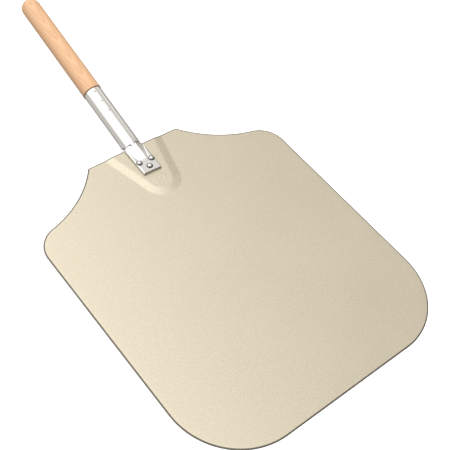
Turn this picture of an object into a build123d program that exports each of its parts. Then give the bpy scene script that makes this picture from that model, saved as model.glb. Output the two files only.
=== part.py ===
"""Pizza peel: a stamped aluminium blade, a pressed tube socket riveted to it, and a beech handle.

Millimetres. The underside of the flat blade lies in the XY plane and the origin is the middle of
that face. +Y points to the front edge of the blade, the handle runs off along -Y and rises.
"""
from build123d import *
from math import copysign, cos, pi, radians, sin, sqrt, tan
import os

# ---- blade ----------------------------------------------------------------------------------
blade_width = 355.6
blade_length = 406.4
blade_thickness = 1.6
back_edge_width = 134.0
shoulder_radius = 152.4
shoulder_center_behind = 92.0
shoulder_fillet = 34.0
front_corner_radius = 87.0
blade_edge_round = 0.5

# ---- boss stamped up at the back of the blade -------------------------------------------------
boss_height = 1.5
boss_half_width = 43.0
boss_side_angle = 15.0
boss_tip = 85.5
boss_wall_run = 10.6

# ---- socket: a tube pressed flat at its front end ---------------------------------------------
socket_slope = 11.57
socket_axis_height = 1.0
tube_radius = 12.25
tube_wall = 1.0
tube_length = 94.5
pad_half_width = 13.2
pad_front = 46.0
slit_height = 1.1
slit_overrun = 1.0
ridge_end = 29.0
hump_half_width = 12.2
pad_squareness = 0.45
pad_skew = 1.9
pad_side_step = 0.6
section_points = 24
press_stations = [-16, -12, -8, -4, 0, 6, 12, 18, 23, 27, 29, 31]

# ---- rivets that hold the socket on the boss --------------------------------------------------
rivet_shank_radius = 2.0
rivet_head_radius = 3.9
rivet_head_height = 3.0
rivet_seat_radius = 4.1
rivet_tail_radius = 3.2
rivet_tail_height = 1.2
rear_rivet_spacing = 17.9
rear_rivet_from_edge = 28.8
front_rivet_from_edge = 38.6

# ---- handle and the small pins that stop it turning -------------------------------------------
handle_radius = 13.0
handle_end = 260.0
handle_shoulder_round = 1.0
spigot_clearance = 0.05
spigot_length = 62.0
pin_pitch = 16.2
pin_from_mouth = 5.5
pin_turns = [11.6, 8.7, 5.6]
pin_shank_radius = 0.6
pin_head_radius = 1.1
pin_head_height = 0.35
pin_head_round = 0.2
pin_length = 9.0

# ---- worked out from the dimensions above -----------------------------------------------------
back_edge = -blade_length / 2
boss_top = blade_thickness + boss_height
pad_thickness = 2 * tube_wall + slit_height
pad_middle = boss_top + pad_thickness / 2
pad_top = boss_top + pad_thickness
slope = radians(socket_slope)
socket_origin = (0, back_edge, socket_axis_height)
socket_plane = Plane(origin=socket_origin, x_dir=(1, 0, 0), z_dir=(0, -cos(slope), sin(slope)))
on_base = (Align.CENTER, Align.CENTER, Align.MIN)
pin_sites = [(tube_length - pin_from_mouth - i * pin_pitch, turn) for i, turn in enumerate(pin_turns)]

os.makedirs("parts", exist_ok=True)


def pressed_share(distance):
    """How far the tube has been pressed, from 0 where it is round to 1 at the back edge of the blade."""
    progress = max(0, min(1, 1 - distance / press_stations[0]))
    return progress**2 * (3 - 2 * progress)


def cross_plane(distance):
    """Upright plane across the socket, a distance in front of the back edge of the blade.

    The pressed end sits a little to the side of the tube's line and is turned a little away from it.
    """
    share = pressed_share(distance)
    turn = radians(pad_skew) * share
    origin = (pad_side_step * share + sin(turn) * distance, back_edge + cos(turn) * distance, 0)
    return Plane(origin=origin, x_dir=(cos(turn), -sin(turn), 0), z_dir=(-sin(turn), -cos(turn), 0))


def rivet_site(across, distance):
    """Place of a rivet in plan, from its place on the pressed end."""
    site = cross_plane(distance).from_local_coords((across, 0, 0))
    return site.X, site.Y


def boss_outline(inset):
    """Tapered tongue with a round nose, moved inwards by inset on its sides and nose."""
    angle = radians(boss_side_angle)
    half = boss_half_width - inset / cos(angle)
    tip = boss_tip - inset
    nose = (half * cos(angle) - tip * sin(angle)) / (1 - sin(angle))
    tangent = (nose * cos(angle), back_edge + tip - nose + nose * sin(angle))
    with BuildLine() as outline:
        Line((-half, back_edge), (half, back_edge))
        Line((half, back_edge), tangent)
        ThreePointArc(tangent, (0, back_edge + tip), (-tangent[0], tangent[1]))
        Line((-tangent[0], tangent[1]), (-half, back_edge))
    return outline.line


def axis_height(distance):
    """Height of the tube's centre line at a distance in front of the back edge of the blade."""
    return socket_axis_height - distance * tan(slope)


def ridge_height(distance):
    """Height of the ridge, which follows the top of the tube and then runs down onto the pad."""
    crown = tube_radius / cos(slope)
    if distance <= 0:
        return axis_height(distance) + crown
    start = axis_height(0) + crown
    return start + (pad_top - start) * min(1, distance / ridge_end)


def tube_point(angle, distance, inset):
    """Point of the round tube's upright section, moved inwards by inset."""
    radius = tube_radius - inset
    return Vector(radius * cos(angle), axis_height(distance) + radius / cos(slope) * sin(angle))


def pressed_point(angle, distance, inset):
    """Point of the pressed section: a flat pad with round sides and a ridge that fades forwards."""
    across = copysign(abs(cos(angle)) ** pad_squareness, cos(angle))
    upward = copysign(abs(sin(angle)) ** pad_squareness, sin(angle))
    x = (pad_half_width - inset) * across
    z = pad_middle + (pad_thickness / 2 - inset) * upward
    hump_width = hump_half_width * (1 - (max(distance, 0) / ridge_end) ** 3) - inset / 2
    if upward > 0 and abs(x) < hump_width:
        z += (ridge_height(distance) - pad_top) * (1 - (x / hump_width) ** 2)
    return Vector(x, z)


def socket_section(distance, inset):
    """Upright section of the pressed end, which turns from the round tube into the flat pad."""
    share = pressed_share(distance)
    points = []
    for i in range(section_points):
        angle = 2 * pi * i / section_points
        round_point = tube_point(angle, distance, inset)
        points.append(round_point + (pressed_point(angle, distance, inset) - round_point) * share)
    with BuildSketch(cross_plane(distance)) as section:
        with BuildLine():
            Spline(*points, periodic=True)
        make_face()
    return section.sketch


def pin_plane(distance, turn):
    """Plane on the tube, turned round from its top line, its normal straight out of the tube."""
    outward = socket_plane.x_dir * sin(radians(turn)) + socket_plane.y_dir * cos(radians(turn))
    center = socket_plane.from_local_coords((0, 0, distance))
    return Plane(origin=center + outward * tube_radius, z_dir=outward)


rivet_sites = {
    "rivet_left": rivet_site(rear_rivet_spacing / 2, rear_rivet_from_edge),
    "rivet_right": rivet_site(-rear_rivet_spacing / 2, rear_rivet_from_edge),
    "rivet_front": rivet_site(0, front_rivet_from_edge),
}

# ---- blade ----------------------------------------------------------------------------------
half_width = blade_width / 2
front_edge = blade_length / 2
shoulder_x = back_edge_width / 2 + sqrt(shoulder_radius**2 - shoulder_center_behind**2)
shoulder = Vector(shoulder_x, back_edge - shoulder_center_behind)
fillet_x = half_width - shoulder_fillet
reach = shoulder_radius + shoulder_fillet
fillet_center = Vector(fillet_x, shoulder.Y + sqrt(reach**2 - (shoulder_x - fillet_x) ** 2))
shoulder_end = shoulder + (fillet_center - shoulder) * (shoulder_radius / reach)
with BuildPart() as blade:
    with BuildSketch() as blade_sketch:
        with BuildLine():
            Line((0, back_edge), (back_edge_width / 2, back_edge))
            RadiusArc((back_edge_width / 2, back_edge), shoulder_end, shoulder_radius)
            RadiusArc(shoulder_end, (half_width, fillet_center.Y), -shoulder_fillet)
            Line((half_width, fillet_center.Y), (half_width, front_edge - front_corner_radius))
            RadiusArc(
                (half_width, front_edge - front_corner_radius),
                (half_width - front_corner_radius, front_edge),
                -front_corner_radius,
            )
            Line((half_width - front_corner_radius, front_edge), (0, front_edge))
            mirror(about=Plane.YZ)
        make_face()
    extrude(amount=blade_thickness)
    rim = blade.edges().group_by(Axis.Z)[0] + blade.edges().group_by(Axis.Z)[-1]
    fillet(rim.filter_by_position(Axis.Y, back_edge + blade_thickness, blade_length), blade_edge_round)
    for lower, mode in ((blade_thickness, Mode.ADD), (0, Mode.SUBTRACT)):
        with BuildSketch(Plane.XY.offset(lower)):
            make_face(boss_outline(0))
        with BuildSketch(Plane.XY.offset(lower + boss_height)):
            make_face(boss_outline(boss_wall_run))
        loft(ruled=True, mode=mode)
    with Locations(*[(x, y, boss_top) for x, y in rivet_sites.values()]):
        Hole(rivet_shank_radius)
blade.part.label = "blade"
export_step(blade.part, "parts/blade.step")


# ---- socket ---------------------------------------------------------------------------------
behind_mouth = -tube_length - tube_radius
with BuildPart() as socket:
    for inset, mode in ((0, Mode.ADD), (tube_wall, Mode.SUBTRACT)):
        front = pad_front + (slit_overrun if inset else 0)
        spans = [(behind_mouth, press_stations[0]), press_stations, (press_stations[-1], front)]
        for span in spans:
            loft([socket_section(distance, inset) for distance in span], mode=mode)
    split(bisect_by=socket_plane.offset(tube_length), keep=Keep.BOTTOM)
    with BuildSketch(Plane.XY.offset(boss_top)):
        with Locations((0, back_edge)):
            Rectangle(blade_width, blade_length, align=(Align.CENTER, Align.MIN))
    extrude(amount=-boss_top, mode=Mode.SUBTRACT)
    with Locations(*[(x, y, pad_top) for x, y in rivet_sites.values()]):
        Cylinder(rivet_shank_radius, pad_front, mode=Mode.SUBTRACT)
        Cylinder(rivet_seat_radius, pad_thickness, align=on_base, mode=Mode.SUBTRACT)
    with Locations(*[pin_plane(distance, turn) for distance, turn in pin_sites]):
        Cylinder(pin_shank_radius, pin_length, mode=Mode.SUBTRACT)
socket.part.label = "socket"
export_step(socket.part, "parts/socket.step")

# ---- handle ---------------------------------------------------------------------------------
with BuildPart() as handle:
    with BuildSketch(socket_plane.offset(tube_length)):
        Circle(handle_radius)
    extrude(amount=handle_end - handle_radius - tube_length)
    fillet(handle.edges().sort_by(Axis.Y)[-1], handle_shoulder_round)
    with Locations(socket_plane.offset(handle_end - handle_radius)):
        Sphere(handle_radius)
    with BuildSketch(socket_plane.offset(tube_length)):
        Circle(tube_radius - tube_wall - spigot_clearance)
    extrude(amount=-spigot_length)
    with Locations(*[pin_plane(distance, turn) for distance, turn in pin_sites]):
        Cylinder(pin_shank_radius, 2 * pin_length, mode=Mode.SUBTRACT)
handle.part.label = "handle"
export_step(handle.part, "parts/handle.step")

# ---- rivets ---------------------------------------------------------------------------------
for name, (x, y) in rivet_sites.items():
    head_top = (x, pad_top + rivet_head_height)
    head_rim = (x + rivet_head_radius, pad_top)
    with BuildPart() as rivet:
        with BuildSketch(Plane.XZ.offset(-y)):
            with BuildLine():
                Polyline(
                    head_top,
                    (x, boss_height - rivet_tail_height),
                    (x + rivet_tail_radius, boss_height - rivet_tail_height),
                    (x + rivet_tail_radius, boss_height),
                    (x + rivet_shank_radius, boss_height),
                    (x + rivet_shank_radius, pad_top),
                    head_rim,
                )
                TangentArc(head_top, head_rim, tangent=(1, 0))
            make_face()
        revolve(axis=Axis((x, y, 0), (0, 0, 1)))
    rivet.part.label = name
    export_step(rivet.part, f"parts/{name}.step")

# ---- pins -----------------------------------------------------------------------------------
for number, (distance, turn) in enumerate(pin_sites, start=1):
    with BuildPart() as pin:
        with BuildSketch(pin_plane(distance, turn)):
            Circle(pin_head_radius)
        extrude(amount=pin_head_height)
        fillet(pin.edges().filter_by(GeomType.CIRCLE).sort_by(Axis.Z)[-1], pin_head_round)
        with BuildSketch(pin_plane(distance, turn)):
            Circle(pin_shank_radius)
        extrude(amount=-pin_length)
    pin.part.label = f"handle_pin_{number}"
    export_step(pin.part, f"parts/handle_pin_{number}.step")
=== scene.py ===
"""Pizza peel: satin aluminium blade with a stamped boss, pressed tube socket, beech handle.

Metres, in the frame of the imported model: the underside of the flat blade is z = 0, +Y points to
the blade's front edge and the handle runs off along -Y and rises.
"""
import bpy
from math import atan2, cos, exp, hypot, pi, radians, sin, sqrt, tan
from mathutils import Matrix, Quaternion, Vector
from mathutils.geometry import delaunay_2d_cdt


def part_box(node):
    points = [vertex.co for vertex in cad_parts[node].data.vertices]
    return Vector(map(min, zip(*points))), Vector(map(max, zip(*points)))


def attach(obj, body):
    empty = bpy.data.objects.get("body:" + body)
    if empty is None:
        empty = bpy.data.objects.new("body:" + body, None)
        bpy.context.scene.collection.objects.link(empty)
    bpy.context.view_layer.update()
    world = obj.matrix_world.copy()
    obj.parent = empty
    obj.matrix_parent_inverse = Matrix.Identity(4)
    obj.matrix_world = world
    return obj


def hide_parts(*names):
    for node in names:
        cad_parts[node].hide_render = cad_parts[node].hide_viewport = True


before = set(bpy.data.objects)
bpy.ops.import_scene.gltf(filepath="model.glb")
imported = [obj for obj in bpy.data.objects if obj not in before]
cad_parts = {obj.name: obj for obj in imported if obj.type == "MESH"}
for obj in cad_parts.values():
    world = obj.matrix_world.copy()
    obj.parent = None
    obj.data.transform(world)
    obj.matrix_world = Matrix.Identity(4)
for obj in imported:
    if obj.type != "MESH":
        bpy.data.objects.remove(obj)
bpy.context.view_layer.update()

MM = 0.001

# ---- blade ------------------------------------------------------------------------------------
blade_low, blade_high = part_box("blade")
HALF_WIDTH = blade_high[0]
BACK_EDGE = blade_low[1]
FRONT_EDGE = blade_high[1]
SHEET = 1.6 * MM
BACK_HALF = 67 * MM
SHOULDER_RADIUS = 152.4 * MM
SHOULDER_BEHIND = 92 * MM
SHOULDER_FILLET = 34 * MM
CORNER_RADIUS = 87 * MM
EDGE_ROUND = 0.5 * MM
EDGE_BAND = 1.6 * MM
EDGE_STEPS = 6
MESH_STEP = 7 * MM
RIM_CLEARANCE = 0.8 * MM

# ---- boss stamped up at the back of the blade -------------------------------------------------
BOSS_HEIGHT = blade_high[2] - SHEET
BOSS_TOP = SHEET + BOSS_HEIGHT
BOSS_HALF_WIDTH = 43 * MM
BOSS_SIDE_ANGLE = radians(15)
BOSS_TIP = 85.5 * MM
BOSS_WALL = 10.6 * MM
BOSS_SOFTNESS = 0.12
BOSS_MESH_HALF_WIDTH = 50 * MM
BOSS_MESH_LENGTH = 92 * MM
BOSS_MESH_STEP = 3 * MM
BOSS_ROW_STEP = 2.2 * MM
BOSS_OUTER_ROWS = (-9 * MM, -4 * MM)
BOSS_INNER_CLEARANCE = 1.5 * MM
BOSS_OUTER_CLEARANCE = 13 * MM

# ---- two rings of beads embossed on the boss --------------------------------------------------
MARK_CENTER = (1.5 * MM, BACK_EDGE + 60 * MM)
MARK_HALF = (7.2 * MM, 6.0 * MM)
MARK_HEIGHT = 0.24 * MM
MARK_RINGS = ((1.0, 14), (0.5, 6))
MARK_REACH = 1.3
MARK_BEAD = 0.13
MARK_MESH_REACH = 1.4
MARK_MESH_STEP = 0.42 * MM

# ---- socket -----------------------------------------------------------------------------------
SLOPE = radians(11.57)
AXIS_HEIGHT = 1.0 * MM
TUBE_RADIUS = 12.25 * MM
TUBE_WALL = 1.0 * MM
TUBE_LENGTH = 94.5 * MM
PRESS_START = 16 * MM
CLOSE_START = 13 * MM
SIDE_RISE_START = 8 * MM
SIDE_RISE_RUN = 10 * MM
TURN_START = 6 * MM
PAD_HALF_WIDTH = 13.3 * MM
PAD_FRONT = 46 * MM
PAD_SKEW = radians(1.9)
PAD_SIDE_STEP = 0.6 * MM
SLIT = 1.1 * MM
PAD_THICKNESS = 2 * TUBE_WALL + SLIT
PAD_TOP = BOSS_TOP + PAD_THICKNESS
CREASE_RUN = 0.8 * MM
SOFT_CREASE_RUN = 5 * MM
ROUND_SECTION = 2
PAD_SECTION = 7

# ---- hump on the pad: places across it, each with its change per length ahead of the crease -------
HUMP_LENGTH = 29 * MM
HUMP_FOOT = 14.0 * MM
HUMP_FOOT_MOST = 12.9 * MM
HUMP_FOOT_RATE = 0.275
HUMP_MIDDLE = 1.0 * MM
HUMP_MIDDLE_RATE = 0.03
RIDGE_PLACE = -1.1 * MM
RIDGE_RATE = 0.085
TOP_EDGE_PLACE = 6.6 * MM
TOP_EDGE_RATE = 0.145
HUMP_MARGIN = 0.5 * MM
HUMP_STEP_DOWN = 0.1 * MM
HUMP_FADE = 0.85
HUMP_END = 0.86
HUMP_END_LOSS = 0.5
TOP_FALL = (0.31, 0.25)
FOOT_LINE_DEPTH = 0.3 * MM
FOOT_LINE_WIDTH = 0.45 * MM
FOOT_LINE_END = 0.8
EDGE_LINE_DEPTH = 0.4 * MM
EDGE_LINE_WIDTH = 0.4 * MM
EDGE_LINE_END = 0.5

# ---- socket's mesh: faces between the hump's folds, faces below, and shallow dents in its flanks painted near-black as shade ------
UPPER_COUNTS = (12, 18, 14, 16, 12)
LOWER_COUNT = 56
SHADED_PITS = ((-2.0 * MM, 1.6 * MM, 2.1 * MM), (-93.0 * MM, -4.0 * MM, 1.8 * MM))
PIT_PULL = 0.95
PIT_SIDE = 0.8
LIP = ((0.12, 0.08), (0.02, 0.25), (0, 0.5), (0.05, 0.75), (0.2, 0.92))
SIDE_SHADE_BAND = 0.2 * MM
SOCKET_SHARP = radians(32)
# material slot of the near-black painted shade inside the tube, its slit and the flank dents
INSIDE_SHADE_SLOT = 1
# material slot of the grey painted shade along the crease and the pad's sides
FOLD_SHADE_SLOT = 2

# ---- rivets -----------------------------------------------------------------------------------
RIVET_DOME_RADIUS = 3.15 * MM
RIVET_DOME_TOP = 2.6 * MM
# low ring round the head's foot, painted near-black as shadow
RIVET_SHADOW_RING_RADIUS = 4.1 * MM
RIVET_SHADOW_RING_HEIGHT = 0.25 * MM
RIVET_SEGMENTS = 48
RIVET_STEPS = 18
RIVET_SHARP = radians(60)

AXIS_DIRECTION = Vector((0, -cos(SLOPE), sin(SLOPE)))
AXIS_UP = Vector((0, sin(SLOPE), cos(SLOPE)))
AXIS_ORIGIN = Vector((0, BACK_EDGE, AXIS_HEIGHT))


# ---- helpers ----------------------------------------------------------------------------------
def smooth(t):
    """Smooth step from 0 to 1."""
    t = max(0.0, min(1.0, t))
    return t * t * (3 - 2 * t)


def mix(a, b, t):
    return a + (b - a) * t


def new_mesh(name, vertices, faces, sharp=radians(40)):
    """Smooth-shaded mesh object with its steeper edges kept sharp."""
    mesh = bpy.data.meshes.new(name)
    mesh.from_pydata([tuple(v) for v in vertices], [], faces)
    mesh.validate()
    mesh.polygons.foreach_set("use_smooth", [True] * len(mesh.polygons))
    mesh.set_sharp_from_angle(angle=sharp)
    mesh.update()
    piece = bpy.data.objects.new(name, mesh)
    bpy.context.scene.collection.objects.link(piece)
    return piece


def bridge(first, second, count):
    """Quads between two closed rings of vertices that start at the given indices."""
    following = [(i + 1) % count for i in range(count)]
    return [(first + i, first + j, second + j, second + i) for i, j in enumerate(following)]


def arc(center, radius, start, end, steps):
    """Points on an arc, both ends included."""
    angles = [mix(start, end, i / steps) for i in range(steps + 1)]
    return [Vector((center[0] + radius * cos(a), center[1] + radius * sin(a))) for a in angles]


def inside(point, ring, margin):
    """True where a point lies inside a closed ring and no nearer to it than the margin."""
    within = False
    nearest = 1.0
    for a, b in zip(ring, ring[1:] + ring[:1]):
        if (a.y > point.y) != (b.y > point.y):
            if point.x < a.x + (point.y - a.y) / (b.y - a.y) * (b.x - a.x):
                within = not within
        along = b - a
        share = max(0, min(1, (point - a).dot(along) / along.length_squared))
        nearest = min(nearest, (a + along * share - point).length)
    return within and nearest > margin


# ---- blade ------------------------------------------------------------------------------------
def boss_nose():
    """Radius of the boss's round front and its distance from the back edge."""
    slant = sin(BOSS_SIDE_ANGLE)
    radius = (BOSS_HALF_WIDTH * cos(BOSS_SIDE_ANGLE) - BOSS_TIP * slant) / (1 - slant)
    return radius, BOSS_TIP - radius


def boss_inset(x, y):
    """How far inside the boss's outline a point lies; negative outside it."""
    from_edge = y - BACK_EDGE
    radius, center = boss_nose()
    if atan2(from_edge - center, abs(x)) > BOSS_SIDE_ANGLE:
        return radius - hypot(x, from_edge - center)
    return (BOSS_HALF_WIDTH - from_edge * tan(BOSS_SIDE_ANGLE) - abs(x)) * cos(BOSS_SIDE_ANGLE)


def boss_contour(inset, step):
    """Points along the boss's outline moved inwards, from one back corner to the other."""
    radius, center = boss_nose()
    radius -= inset
    middle = Vector((0, BACK_EDGE + center))
    turn = pi / 2 - BOSS_SIDE_ANGLE
    if radius < 1 * MM:
        return []
    nose = arc(middle, radius, BOSS_SIDE_ANGLE, pi / 2, max(4, round(radius * turn / step)))
    length = (nose[0].y - BACK_EDGE) / cos(BOSS_SIDE_ANGLE)
    count = round(length / step)
    back = nose[0] + Vector((sin(BOSS_SIDE_ANGLE), -cos(BOSS_SIDE_ANGLE))) * length
    side = [back.lerp(nose[0], i / count) for i in range(1, count)]
    half = side + nose
    return half + [Vector((-p.x, p.y)) for p in half[-2::-1]]


def ramp(t, soft):
    """Straight rise from 0 to 1 whose two ends are rounded over a share of its length."""
    t = max(-soft, min(1 + soft, t))
    if t < soft:
        return (t + soft) ** 2 / (4 * soft)
    if t > 1 - soft:
        return 1 - (1 + soft - t) ** 2 / (4 * soft)
    return t


def blade_lift(x, y):
    """Height of the stamped boss above the flat sheet."""
    return BOSS_HEIGHT * ramp(boss_inset(x, y) / BOSS_WALL, BOSS_SOFTNESS)


def mark_height(x, y):
    """Height of the two embossed rings of beads."""
    dx = (x - MARK_CENTER[0]) / MARK_HALF[0]
    dy = (y - MARK_CENTER[1]) / MARK_HALF[1]
    reach = hypot(dx, dy)
    if reach > MARK_REACH:
        return 0
    rise = 0
    for radius, beads in MARK_RINGS:
        turn = atan2(dy, dx) / (2 * pi) * beads
        beside = (turn - round(turn)) / beads * 2 * pi * radius
        rise += exp(-((hypot(reach - radius, beside) / MARK_BEAD) ** 2))
    return MARK_HEIGHT * rise


def blade_outline(inset):
    """Half of the blade's outline, from the back edge round to the front, moved inwards."""
    shoulder_x = BACK_HALF + sqrt(SHOULDER_RADIUS**2 - SHOULDER_BEHIND**2)
    shoulder = Vector((shoulder_x, BACK_EDGE - SHOULDER_BEHIND))
    fillet_x = HALF_WIDTH - SHOULDER_FILLET
    reach = SHOULDER_RADIUS + SHOULDER_FILLET
    fillet = Vector((fillet_x, shoulder.y + sqrt(reach**2 - (shoulder_x - fillet_x) ** 2)))
    radius = SHOULDER_RADIUS + inset
    toward = fillet - shoulder
    start = pi - atan2(SHOULDER_BEHIND + inset, sqrt(radius**2 - (SHOULDER_BEHIND + inset) ** 2))
    end = atan2(toward.y, toward.x)
    concave = arc(shoulder, radius, start, end, 60)
    convex = arc(fillet, SHOULDER_FILLET - inset, end - pi, 0, 28)
    front = Vector((HALF_WIDTH - CORNER_RADIUS, FRONT_EDGE - CORNER_RADIUS))
    corner = arc(front, CORNER_RADIUS - inset, 0, pi / 2, 48)
    back = [Vector((mix(0, concave[0].x, i / 52), BACK_EDGE + inset)) for i in range(52)]
    side = [convex[-1].lerp(corner[0], i / 24) for i in range(1, 24)]
    tip = [Vector((mix(corner[-1].x, 0, i / 12), FRONT_EDGE - inset)) for i in range(1, 13)]
    return back + concave + convex[1:] + side + corner + tip


def whole_outline(inset):
    """The blade's closed outline, anticlockwise from the middle of the back edge."""
    half = blade_outline(inset)
    return half + [Vector((-p.x, p.y)) for p in half[-2:0:-1]]


def grid(low, high, step):
    """Points of a regular grid strictly inside a rectangle."""
    across, along = (max(1, round((high[i] - low[i]) / step)) for i in (0, 1))
    for i in range(1, across):
        for j in range(1, along):
            yield Vector((mix(low[0], high[0], i / across), mix(low[1], high[1], j / along)))


def blade_points(rim):
    """Points inside the rim: a wide grid, rows along the boss's wall and a close grid on the beads."""
    points = []
    soft = BOSS_SOFTNESS * BOSS_WALL
    rows = [mix(-soft, soft, i / 4) for i in range(5)]
    rows += [mix(soft, BOSS_WALL - soft, i / 5) for i in range(1, 5)]
    rows += [mix(BOSS_WALL - soft, BOSS_WALL + soft, i / 4) for i in range(5)]
    for inset in [*BOSS_OUTER_ROWS, *rows]:
        points += boss_contour(inset, BOSS_ROW_STEP)
    mark = list(zip(MARK_CENTER, MARK_HALF))
    low, high = ([c + side * MARK_MESH_REACH * h for c, h in mark] for side in (-1, 1))
    points += grid(low, high, MARK_MESH_STEP)
    low = (-BOSS_MESH_HALF_WIDTH, BACK_EDGE)
    high = (BOSS_MESH_HALF_WIDTH, BACK_EDGE + BOSS_MESH_LENGTH)
    for p in grid(low, high, BOSS_MESH_STEP):
        off_mark = any(abs(v - c) > (MARK_MESH_REACH + 0.05) * h for v, (c, h) in zip(p, mark))
        if off_mark and boss_inset(p.x, p.y) > BOSS_WALL + soft + BOSS_INNER_CLEARANCE:
            points.append(p)
    for p in grid((-HALF_WIDTH, BACK_EDGE), (HALF_WIDTH, FRONT_EDGE), MESH_STEP):
        if boss_inset(p.x, p.y) < -BOSS_OUTER_CLEARANCE:
            points.append(p)
    return [p for p in points if inside(p, rim, RIM_CLEARANCE)]


def make_blade():
    """The sheet: top and bottom faces of one flat triangulation, lifted at the boss, and its edge."""
    rim = whole_outline(EDGE_BAND)
    points = rim + blade_points(rim)
    count = len(rim)
    edges = [(i, (i + 1) % count) for i in range(count)]
    flat, _, faces, *_ = delaunay_2d_cdt(points, edges, [], 1, 1e-7)
    top = [Vector((p.x, p.y, SHEET + blade_lift(p.x, p.y) + mark_height(p.x, p.y))) for p in flat]
    bottom = [Vector((p.x, p.y, blade_lift(p.x, p.y))) for p in flat]
    vertices = top + bottom
    polygons = [tuple(f) for f in faces] + [tuple(i + len(top) for i in reversed(f)) for f in faces]
    quarter = [pi / 2 * i / EDGE_STEPS for i in range(1, EDGE_STEPS + 1)]
    profile = [(EDGE_BAND * (1 - sin(a)), SHEET - EDGE_ROUND * (1 - cos(a))) for a in quarter]
    profile += [(inset, SHEET - height) for inset, height in reversed(profile)]
    rings = []
    for inset, height in profile:
        rings.append(len(vertices))
        vertices += [Vector((p.x, p.y, height + blade_lift(p.x, p.y))) for p in whole_outline(inset)]
    chain = [0] + rings + [len(top)]
    inner = len(polygons)
    for first, second in zip(chain, chain[1:]):
        polygons += [tuple(reversed(f)) for f in bridge(first, second, count)]
    piece = new_mesh("blade_sheet", vertices, polygons)
    # the rounded edge faces from here on get the dark painted shade
    piece["edge_from"] = inner
    return piece


# ---- socket -----------------------------------------------------------------------------------
def hump_controls(y, half_width):
    """Across the pressed end: its sides, the hump's feet, the ridge and the edge of its flat top."""
    y = min(y, HUMP_LENGTH)
    foot = min(HUMP_FOOT_MOST, HUMP_FOOT - HUMP_FOOT_RATE * y)
    middle = HUMP_MIDDLE - HUMP_MIDDLE_RATE * y
    right_foot = max(middle - foot, -half_width + HUMP_MARGIN)
    left_foot = min(middle + foot, half_width - HUMP_MARGIN)
    ridge = RIDGE_PLACE - RIDGE_RATE * y
    top_edge = TOP_EDGE_PLACE - TOP_EDGE_RATE * y
    return -half_width, right_foot, ridge, top_edge, left_foot, half_width


def hump_rise(x, y, inset):
    """Height of the hump above the pad: a ridge, a flat top beside it and a flat down each side."""
    share = max(0, y) / HUMP_LENGTH
    if share >= 1:
        return 0
    tube_top = AXIS_HEIGHT + TUBE_RADIUS / cos(SLOPE)
    rise = (tube_top - HUMP_STEP_DOWN - PAD_TOP) * (1 - share) ** HUMP_FADE
    rise *= 1 - HUMP_END_LOSS * smooth((share - HUMP_END) / (1 - HUMP_END))
    _, right_foot, ridge, edge, left_foot, _ = hump_controls(y, PAD_HALF_WIDTH - inset)
    if x < right_foot or x > left_foot:
        return 0
    if x < ridge:
        return rise * (x - right_foot) / (ridge - right_foot)
    fall = mix(*TOP_FALL, share) * (edge - ridge)
    edge_rise = max(rise - fall, rise * (left_foot - edge) / (left_foot - ridge))
    if x < edge:
        return mix(rise, edge_rise, (x - ridge) / (edge - ridge))
    return edge_rise * (left_foot - x) / (left_foot - edge)


def line_profile(offset, width):
    """Rounded cross-section of a fold line, 1 at its middle."""
    return exp(-((offset / width) ** 2))


def groove(x, y):
    """Shallow fold lines along the hump's feet and along the edge of its flat top."""
    share = y / HUMP_LENGTH
    fade = 0.25
    if share < 0 or share > FOOT_LINE_END + fade:
        return 0
    _, right_foot, _, edge, left_foot, _ = hump_controls(y, PAD_HALF_WIDTH)
    feet = sum(line_profile(x - foot, FOOT_LINE_WIDTH) for foot in (right_foot, left_foot))
    depth = FOOT_LINE_DEPTH * feet * (1 - smooth((share - FOOT_LINE_END) / fade))
    edge_depth = EDGE_LINE_DEPTH * (1 - smooth(share / EDGE_LINE_END))
    return depth + edge_depth * line_profile(x - edge, EDGE_LINE_WIDTH)


def press_place(y):
    """Sideways shift and turn of the upright section at a distance in front of the back edge."""
    share = smooth(1 + y / TURN_START)
    return PAD_SIDE_STEP * share, PAD_SKEW * share


def tube_ring(distance, inset):
    """Ring of the round tube, square to its axis, at a distance behind the back edge."""
    center = AXIS_ORIGIN + AXIS_DIRECTION * distance
    radius = TUBE_RADIUS - inset
    upper = sum(UPPER_COUNTS)
    angles = [-pi / 2 + pi * i / upper for i in range(upper)]
    angles += [pi / 2 + pi * i / LOWER_COUNT for i in range(LOWER_COUNT)]
    return [center + Vector((radius * sin(a), 0, 0)) + AXIS_UP * (radius * cos(a)) for a in angles]


def upper_x(y, half_width):
    """Places across the top of a section, closest together beside its folds."""
    upper = sum(UPPER_COUNTS)
    around = [half_width * sin(-pi / 2 + pi * i / upper) for i in range(upper + 1)]
    controls = hump_controls(max(0, y), half_width)
    folded = []
    for (a, b), count in zip(zip(controls, controls[1:]), UPPER_COUNTS):
        folded += [mix(a, b, (1 - cos(pi * i / count)) / 2) for i in range(count)]
    folded.append(controls[-1])
    share = smooth(1 + y / TURN_START)
    return [mix(a, b, share) for a, b in zip(around, folded)]


def upper_z(x, y, inset, half_width, side):
    """Height of the top of a section: round tube behind the crease, hump and flat pad ahead of it."""
    radius = TUBE_RADIUS - inset
    axis = AXIS_HEIGHT - min(y, 0) * tan(SLOPE)
    across = min(abs(x), radius)
    round_top = max(side, axis + sqrt(radius**2 - across**2) / cos(SLOPE))
    if y <= 0:
        return round_top
    corner = PAD_THICKNESS / 2 - inset
    over = max(0, min(1, (abs(x) - half_width + corner) / corner))
    flat = side + (PAD_TOP - inset - side) * sqrt(1 - over**2)
    faceted = flat + hump_rise(x, y, inset) - groove(x, y)
    _, _, ridge, edge, _, _ = hump_controls(y, half_width)
    beside = smooth((x - ridge) / (2 * MM)) * smooth((edge - x) / (2 * MM))
    run = mix(CREASE_RUN, SOFT_CREASE_RUN, beside)
    return mix(round_top, faceted, smooth(y / run))


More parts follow.
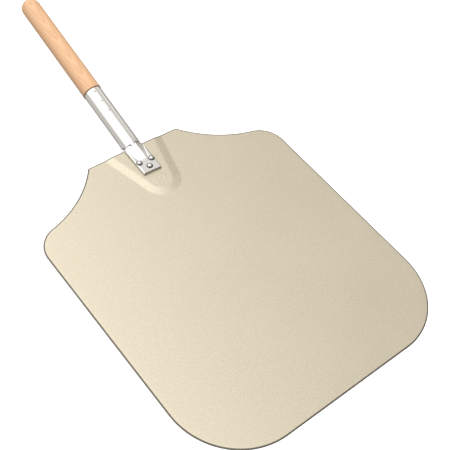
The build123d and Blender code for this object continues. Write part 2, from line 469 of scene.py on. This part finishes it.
def pressed_ring(y, inset):
    """Upright ring of the pressed end at a distance in front of the back edge."""
    axis = AXIS_HEIGHT - y * tan(SLOPE)
    side = mix(axis, BOSS_TOP + PAD_THICKNESS / 2, smooth((y + SIDE_RISE_START) / SIDE_RISE_RUN))
    flank = sqrt(TUBE_RADIUS**2 - min(side - axis, TUBE_RADIUS / 2) ** 2)
    half_width = mix(flank, PAD_HALF_WIDTH, smooth((y + 1.5 * MM) / (4 * MM))) - inset
    closing = smooth((y + CLOSE_START) / CLOSE_START)
    low = mix(axis - TUBE_RADIUS / cos(SLOPE), BOSS_TOP, closing) + inset
    squareness = mix(ROUND_SECTION, PAD_SECTION, closing)
    points = [(x, upper_z(x, y, inset, half_width, side)) for x in upper_x(y, half_width)[:-1]]
    for i in range(LOWER_COUNT):
        a = pi * i / LOWER_COUNT
        across = abs(cos(a)) ** (2 / squareness) * (1 if a < pi / 2 else -1)
        points.append((half_width * across, side - (side - low) * sin(a) ** (2 / squareness)))
    shift, turn = press_place(y)
    return [
        Vector((shift + sin(turn) * y + cos(turn) * x, BACK_EDGE + cos(turn) * y - sin(turn) * x, z))
        for x, z in points
    ]


def in_shaded_pit(point):
    """True in the shallow dents in both flanks, beside the crease and at the mouth, which are painted
    near-black as shade.
    """
    behind = point.y - BACK_EDGE
    axis = AXIS_HEIGHT - behind * tan(SLOPE)
    if abs(point.x) < TUBE_RADIUS * PIT_SIDE:
        return False
    return any(hypot(behind - y, point.z - axis - z) < radius for y, z, radius in SHADED_PITS)


def make_socket():
    """The tube and its pressed end: rings along the outside, round the front lip and back inside."""
    behind = [TUBE_LENGTH - i * 0.5 * MM for i in range(9)]
    behind += [mix(TUBE_LENGTH - 5 * MM, 22 * MM, i / 22) for i in range(23)]
    pressed = [mix(-PRESS_START, -6 * MM, i / 16) for i in range(16)]
    pressed += [mix(-6 * MM, 0, i / 20) for i in range(20)]
    pressed += [mix(0, CREASE_RUN, i / 6) for i in range(6)]
    pressed += [mix(CREASE_RUN, 6 * MM, i / 14) for i in range(14)]
    pressed += [mix(6 * MM, 32 * MM, i / 60) for i in range(60)]
    pressed += [mix(32 * MM, PAD_FRONT - 0.35 * MM, i / 14) for i in range(15)]
    rings = [tube_ring(d, 0) for d in behind] + [pressed_ring(y, 0) for y in pressed]
    outer = len(rings)
    rings += [pressed_ring(PAD_FRONT - back * MM, inset * MM) for back, inset in LIP]
    inner = len(rings)
    rings += [pressed_ring(y, TUBE_WALL) for y in pressed[-4::-1]]
    rings += [tube_ring(d, TUBE_WALL) for d in behind[::-1]]
    count = sum(UPPER_COUNTS) + LOWER_COUNT
    vertices = [v for ring in rings for v in ring]
    faces = []
    for i in range(len(rings)):
        faces += bridge(i * count, (i + 1) % len(rings) * count, count)
    marked = []
    for index, face in enumerate(faces):
        ring = index // count
        middle = sum((vertices[i] for i in face), Vector()) / 4
        # Painted shade: the inside of the tube and slit, and the flank dents, get the near-black material
        if inner - 1 <= ring < len(rings) - 1:
            marked.append((index, INSIDE_SHADE_SLOT))
        elif ring < outer and in_shaded_pit(middle):
            marked.append((index, INSIDE_SHADE_SLOT))
        # Painted shade: the crease's step faces beside the hump and a thin band along each side of the pad
        # get the grey fold material
        elif ring < outer and 0 < middle.y - BACK_EDGE < CREASE_RUN and middle.z > PAD_TOP:
            if middle.x > hump_controls(0, PAD_HALF_WIDTH)[3]:
                marked.append((index, FOLD_SHADE_SLOT))
        elif ring < inner and middle.y > BACK_EDGE + 2 * MM:
            shift, turn = press_place(middle.y - BACK_EDGE)
            x = middle.x - shift - sin(turn) * (middle.y - BACK_EDGE)
            if abs(x) > PAD_HALF_WIDTH - SIDE_SHADE_BAND:
                marked.append((index, FOLD_SHADE_SLOT))
    for ring in rings[:outer]:
        for point in ring:
            if in_shaded_pit(point):
                point.x *= PIT_PULL
    piece = new_mesh("socket_tube", vertices, faces, sharp=SOCKET_SHARP)
    for index, material in marked:
        piece.data.polygons[index].material_index = material
    return piece


# ---- rivets -----------------------------------------------------------------------------------
def make_rivet(name, x, y):
    """Domed head seated on the pad, on a low near-black ring that is painted shadow round its foot."""
    count = RIVET_SEGMENTS
    rim = RIVET_DOME_RADIUS
    rise = RIVET_DOME_TOP - RIVET_SHADOW_RING_HEIGHT
    ball = (rim**2 + rise**2) / (2 * rise)
    end = atan2(rim, ball - rise)
    shadow_radius, height = RIVET_SHADOW_RING_RADIUS, RIVET_SHADOW_RING_HEIGHT
    profile = [(shadow_radius, 0), (shadow_radius, height * 0.6), (shadow_radius * 0.96, height), (rim, height)]
    shadow_rings = len(profile) - 1
    for i in range(1, RIVET_STEPS):
        a = end * (1 - i / RIVET_STEPS)
        profile.append((ball * sin(a), RIVET_DOME_TOP - ball * (1 - cos(a))))
    vertices = []
    for radius, height in profile:
        for i in range(count):
            a = 2 * pi * i / count
            vertices.append(Vector((x + radius * cos(a), y + radius * sin(a), PAD_TOP + height)))
    faces = []
    for i in range(len(profile) - 1):
        faces += bridge(i * count, (i + 1) * count, count)
    vertices.append(Vector((x, y, PAD_TOP + RIVET_DOME_TOP)))
    top = (len(profile) - 1) * count
    faces += [(top + i, top + (i + 1) % count, len(vertices) - 1) for i in range(count)]
    faces.append(tuple(reversed(range(count))))
    piece = new_mesh(name, vertices, faces, sharp=RIVET_SHARP)
    # the low ring's faces get the near-black painted shadow
    for polygon in piece.data.polygons[: shadow_rings * count]:
        polygon.material_index = 1
    return piece


# ---- materials --------------------------------------------------------------------------------
WOOD_LIGHT = (0.76, 0.47, 0.27)
WOOD_DARK = (0.68, 0.39, 0.21)
WOOD_FLECK = (0.54, 0.30, 0.15)
# painted shade for the wood where it meets the tube's mouth
WOOD_MOUTH_SHADE = (0.22, 0.12, 0.06)


def new_material(name):
    material = bpy.data.materials.new(name)
    material.use_nodes = True
    nodes = material.node_tree.nodes
    return material, nodes, material.node_tree.links, nodes["Principled BSDF"]


def add(nodes, kind, **values):
    """New node; keyword values go to its inputs of that name, or else to its properties."""
    node = nodes.new(kind)
    for key, value in values.items():
        name = key.replace("_", " ")
        if name in node.inputs:
            node.inputs[name].default_value = value
        else:
            setattr(node, key, value)
    return node


def two_tone(nodes, links, source, dark, light, low, high):
    """Colour ramp from dark to light over part of a source's range."""
    shade = add(nodes, "ShaderNodeValToRGB")
    shade.color_ramp.elements[0].position = low
    shade.color_ramp.elements[0].color = (*dark, 1)
    shade.color_ramp.elements[1].position = high
    shade.color_ramp.elements[1].color = (*light, 1)
    links.new(source, shade.inputs["Fac"])
    return shade.outputs["Color"]


def ranged(nodes, links, source, span, result, **values):
    """Source mapped from one range to another, clamped to the second."""
    node = add(nodes, "ShaderNodeMapRange", **values)
    for name, number in zip(("From Min", "From Max", "To Min", "To Max"), (*span, *result)):
        node.inputs[name].default_value = number
    links.new(source, node.inputs["Value"])
    return node.outputs["Result"]


def blended(nodes, links, share, first, second):
    """Mix of a linked colour and a constant one by a linked share."""
    node = add(nodes, "ShaderNodeMix", data_type="RGBA")
    links.new(share, node.inputs["Factor"])
    links.new(first, node.inputs[6])
    node.inputs[7].default_value = (*second, 1)
    return node.outputs[2]


def relief(nodes, links, source, shader, strength, distance):
    """Fine bump from a source on a shader."""
    bump = add(nodes, "ShaderNodeBump", Strength=strength, Distance=distance)
    links.new(source, bump.inputs["Height"])
    links.new(bump.outputs["Normal"], shader.inputs["Normal"])


def scaled(color, factor):
    return [min(1, c * factor) for c in color]


def metal(name, color, roughness, grain_scale, grain_depth, tint):
    """Metal: fine grain in colour and relief over broad, faint changes of gloss; used for the bare metal
    and also for the near-black and grey painted-shade materials.
    """
    material, nodes, links, shader = new_material(name)
    shader.inputs["Metallic"].default_value = 1.0
    place = add(nodes, "ShaderNodeTexCoord")
    fine = add(nodes, "ShaderNodeTexNoise", Scale=grain_scale, Detail=3.0, Roughness=0.65)
    broad = add(nodes, "ShaderNodeTexNoise", Scale=11.0, Detail=2.0, Roughness=0.5)
    links.new(place.outputs["Object"], fine.inputs["Vector"])
    links.new(place.outputs["Object"], broad.inputs["Vector"])
    darker, lighter = scaled(color, 1 - tint), scaled(color, 1 + tint)
    color_out = two_tone(nodes, links, fine.outputs["Fac"], darker, lighter, 0.3, 0.7)
    links.new(color_out, shader.inputs["Base Color"])
    rough = ranged(nodes, links, broad.outputs["Fac"], (0.3, 0.7), (roughness * 0.9, roughness * 1.1))
    links.new(rough, shader.inputs["Roughness"])
    relief(nodes, links, fine.outputs["Fac"], shader, grain_depth, 0.3 * MM)
    return material


def beech():
    """Light beech: rings cut at a slant, which show as long arches and short flecks, with painted shade
    darkening the wood where it meets the tube's mouth.
    """
    material, nodes, links, shader = new_material("beech")
    shader.inputs["Roughness"].default_value = 0.5
    shader.inputs["Coat Weight"].default_value = 0.35
    shader.inputs["Coat Roughness"].default_value = 0.2
    place = add(nodes, "ShaderNodeTexCoord")
    turn = add(nodes, "ShaderNodeMapping", vector_type="TEXTURE")
    turn.inputs["Location"].default_value = (0.012, -0.30, 0.11)
    turn.inputs["Rotation"].default_value = (pi / 2 - SLOPE + radians(5), 0, radians(3))
    links.new(place.outputs["Object"], turn.inputs["Vector"])
    stretch = add(nodes, "ShaderNodeMapping")
    stretch.inputs["Scale"].default_value = (1, 1, 0.06)
    links.new(turn.outputs["Vector"], stretch.inputs["Vector"])
    rings = add(nodes, "ShaderNodeTexWave", Scale=130.0, Distortion=2.0, Detail=2.0, Detail_Scale=0.6)
    rings.wave_type = "RINGS"
    rings.rings_direction = "Z"
    rings.wave_profile = "SAW"
    links.new(turn.outputs["Vector"], rings.inputs["Vector"])
    ring_color = two_tone(nodes, links, rings.outputs["Fac"], WOOD_LIGHT, WOOD_DARK, 0.2, 1.0)
    flecks = add(nodes, "ShaderNodeTexNoise", Scale=1300.0, Detail=2.0, Roughness=0.5)
    links.new(stretch.outputs["Vector"], flecks.inputs["Vector"])
    fleck_share = ranged(nodes, links, flecks.outputs["Fac"], (0.58, 0.72), (0.0, 0.45))
    grain = blended(nodes, links, fleck_share, ring_color, WOOD_FLECK)
    # Painted shade: the wood turns dark brown inside the tube and for about 1.3 mm beyond its mouth,
    # fading out by 2 mm
    from_mouth = add(nodes, "ShaderNodeVectorMath", operation="DOT_PRODUCT")
    links.new(place.outputs["Object"], from_mouth.inputs[0])
    from_mouth.inputs[1].default_value = AXIS_DIRECTION
    mouth = AXIS_ORIGIN.dot(AXIS_DIRECTION) + TUBE_LENGTH
    beside_mouth = (mouth + 1.3 * MM, mouth + 2.0 * MM)
    mouth_shade_share = ranged(nodes, links, from_mouth.outputs["Value"], beside_mouth, (1.0, 0.0))
    links.new(blended(nodes, links, mouth_shade_share, grain, WOOD_MOUTH_SHADE), shader.inputs["Base Color"])
    relief(nodes, links, flecks.outputs["Fac"], shader, 0.25, 0.4 * MM)
    return material


# ---- build ------------------------------------------------------------------------------------
def finish_piece(piece, materials, node):
    for material in materials:
        piece.data.materials.append(material)
    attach(piece, "root")
    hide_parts(node)


blade_metal = metal("satin_sheet", (0.88, 0.81, 0.645), 0.36, 700.0, 0.4, 0.115)
# Painted shade: dark colour for the blade's rounded edge, standing in for the dark outline the edge shows
# in shade
edge_shade_metal = metal("edge_painted_shade", (0.20, 0.18, 0.15), 0.5, 900.0, 0.2, 0.06)
tube_metal = metal("drawn_tube", (0.92, 0.92, 0.91), 0.14, 500.0, 0.04, 0.015)
# Painted shade: near-black stands in for the shade inside the tube, its slit and the flank dents
inner_shade_metal = metal("tube_inside_painted_shade", (0.03, 0.028, 0.026), 0.7, 400.0, 0.3, 0.2)
# Painted shade: grey stands in for the shadow in the crease and under the pad's sides
fold_shade_metal = metal("fold_painted_shade", (0.36, 0.34, 0.32), 0.5, 500.0, 0.1, 0.1)
# Painted shadow: near-black ring round the foot of each rivet head
rivet_shadow_metal = metal("rivet_painted_shadow", (0.035, 0.033, 0.031), 0.6, 500.0, 0.1, 0.1)
rivet_metal = metal("rivet_metal", (0.90, 0.90, 0.89), 0.12, 500.0, 0.02, 0.02)
pin_metal = metal("pin_metal", (0.40, 0.39, 0.37), 0.35, 500.0, 0.05, 0.05)

blade = make_blade()
finish_piece(blade, (blade_metal, edge_shade_metal), "blade")
# Painted shade: the rounded edge band is coloured dark all round the blade
for polygon in blade.data.polygons[blade["edge_from"]:]:
    polygon.material_index = 1

socket = make_socket()
# slots 1 and 2 hold the near-black and grey painted shade
finish_piece(socket, (tube_metal, inner_shade_metal, fold_shade_metal), "socket")

for rivet in ("rivet_left", "rivet_right", "rivet_front"):
    low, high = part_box(rivet)
    head = make_rivet(rivet + "_head", (low[0] + high[0]) / 2, (low[1] + high[1]) / 2)
    # slot 1 holds the painted shadow ring
    finish_piece(head, (rivet_metal, rivet_shadow_metal), rivet)

for node, material in [("handle", beech())] + [(f"handle_pin_{i}", pin_metal) for i in (1, 2, 3)]:
    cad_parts[node].data.materials.clear()
    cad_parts[node].data.materials.append(material)


# ---- floor, light and camera ------------------------------------------------------------------
BRIGHTEST = 1.36
DARK_SPOTS = (((-0.92, -0.15, 0.35), 0.965, 0.99, 0.6), ((0.71, 0.45, 0.54), 0.87, 0.94, 0.02))
FLOOR_GAP = 0.3 * MM
FLOOR_SEGMENTS = 96
CAMERA_ROLL = radians(12.7)


def make_backdrop():
    """Pale floor that the peel rests on, by its front edge and the tube, curving up to a wall."""
    low = min(socket.data.vertices, key=lambda v: v.co.z).co
    slope = -low.z / (FRONT_EDGE - low.y)
    count = FLOOR_SEGMENTS
    profile = [(0.4, 0), (1, 0), (2, 0), (3, 0), (4, 0)]
    profile += [(4 + 2 * sin(a), 2 - 2 * cos(a)) for a in (pi / 2 * i / 12 for i in range(1, 13))]
    profile += [(6, 3), (6, 5)]
    vertices = []
    for radius, height in profile:
        for i in range(count):
            x, y = radius * cos(2 * pi * i / count), radius * sin(2 * pi * i / count)
            vertices.append(Vector((x, y, height + (y - FRONT_EDGE) * slope - FLOOR_GAP)))
    faces = [tuple(range(count))]
    for i in range(len(profile) - 1):
        faces += [tuple(reversed(f)) for f in bridge(i * count, (i + 1) * count, count)]
    backdrop = new_mesh("backdrop", vertices, faces)
    material, nodes, links, shader = new_material("backdrop")
    shader.inputs["Base Color"].default_value = (0.6, 0.6, 0.6, 1)
    shader.inputs["Roughness"].default_value = 0.9
    shader.inputs["Specular IOR Level"].default_value = 0.0
    shader.inputs["Emission Color"].default_value = (1, 1, 1, 1)
    shader.inputs["Emission Strength"].default_value = 0.75
    backdrop.data.materials.append(material)
    backdrop.visible_glossy = False
    backdrop.visible_diffuse = False
    backdrop.visible_shadow = False


def make_world():
    """Soft studio: bright toward +X, dimmer toward -X, a grey floor and a dark figure in front."""
    world = bpy.data.worlds.new("studio")
    world.use_nodes = True
    nodes, links = world.node_tree.nodes, world.node_tree.links
    place = add(nodes, "ShaderNodeTexCoord")
    split = add(nodes, "ShaderNodeSeparateXYZ")
    links.new(place.outputs["Generated"], split.inputs["Vector"])

    def math(kind, a, b):
        node = add(nodes, "ShaderNodeMath", operation=kind)
        for socket_in, value in zip(node.inputs, (a, b)):
            if isinstance(value, (int, float)):
                socket_in.default_value = value
            else:
                links.new(value, socket_in)
        return node.outputs[0]

    def step(value, start, end, low, high):
        return ranged(nodes, links, value, (start, end), (low, high), interpolation_type="SMOOTHSTEP")

    def blend(share, low, high):
        return math("ADD", low, math("MULTIPLY", share, math("SUBTRACT", high, low)))

    def line(value, start, end, low, high):
        return ranged(nodes, links, value, (start, end), (low, high))

    x, y, z = (split.outputs[i] for i in range(3))
    sky = math("ADD", line(x, -0.75, -0.2, 0.34, 1.10), step(x, -0.24, -0.05, 0.0, 0.30))
    low_right = math("MULTIPLY", step(z, 0.6, 0.8, 1.0, 0.0), step(x, -0.8, -0.5, 1.0, 0.0))
    low_right = math("MULTIPLY", low_right, step(y, -0.5, -0.38, 0.0, 1.0))
    sky = blend(low_right, sky, 0.88)
    sky = math("MULTIPLY", sky, blend(step(x, -0.5, -0.1, 1.0, 0.0), 1.0, step(y, -0.25, 0.05, 1.0, 0.75)))
    ground = math("ADD", step(x, 0.05, 0.45, 0.15, 0.58), step(x, -0.9, -0.55, 0.30, 0.0))
    ground = math("MULTIPLY", ground, step(y, -0.1, 0.4, 1.0, 0.35))
    height = math("SUBTRACT", z, step(y, -0.3, 0.5, 0.0, 0.30))
    narrow, wide = step(height, 0.05, 0.32, 0.0, 1.0), step(height, -0.1, 0.5, 0.0, 1.0)
    horizon = blend(step(x, -0.2, 0.2, 0.0, 1.0), narrow, wide)
    level = blend(horizon, ground, sky)

    def toward(direction):
        node = add(nodes, "ShaderNodeVectorMath", operation="DOT_PRODUCT")
        links.new(place.outputs["Generated"], node.inputs[0])
        node.inputs[1].default_value = Vector(direction).normalized()
        return node.outputs["Value"]

    for direction, start, end, dark in DARK_SPOTS:
        level = math("MULTIPLY", level, step(toward(direction), start, end, 1.0, dark))
    tint = add(nodes, "ShaderNodeValToRGB")
    tint.color_ramp.elements[0].position = 0.0
    tint.color_ramp.elements[0].color = (1.0, 0.93, 0.85, 1)
    tint.color_ramp.elements[1].position = 1.0
    tint.color_ramp.elements[1].color = (1.0, 0.997, 0.99, 1)
    middle = tint.color_ramp.elements.new(0.62)
    middle.color = (1.0, 0.965, 0.925, 1)
    links.new(math("MULTIPLY", level, 1 / BRIGHTEST), tint.inputs["Fac"])
    links.new(tint.outputs["Color"], nodes["Background"].inputs["Color"])
    links.new(level, nodes["Background"].inputs["Strength"])
    bpy.context.scene.world = world


def make_fill_light():
    """Broad soft light from above the front that lights the wood and makes no highlight on metal."""
    data = bpy.data.lights.new("fill", "SUN")
    data.energy = 1.65
    data.angle = radians(50)
    light = bpy.data.objects.new("fill", data)
    light.rotation_euler = Vector((0.12, 0.42, 0.90)).to_track_quat("Z", "Y").to_euler()
    light.visible_glossy = False
    bpy.context.scene.collection.objects.link(light)


def make_camera():
    """Camera above the blade's front corner at +X, rolled a little."""
    position = Vector((0.4501, 0.3717, 0.7908))
    aim = Vector((-0.0219, -0.0462, 0.0))
    data = bpy.data.cameras.new("camera")
    data.lens = 67.26
    data.sensor_width = 36
    data.shift_x = 0.005
    data.shift_y = -0.00127
    data.clip_start = 0.01
    camera = bpy.data.objects.new("camera", data)
    turn = (aim - position).to_track_quat("-Z", "Y") @ Quaternion((0, 0, 1), CAMERA_ROLL)
    camera.matrix_world = Matrix.Translation(position) @ turn.to_matrix().to_4x4()
    bpy.context.scene.collection.objects.link(camera)
    bpy.context.scene.camera = camera


make_backdrop()
make_world()
make_fill_light()
make_camera()
bpy.context.scene.view_settings.view_transform = "Standard"
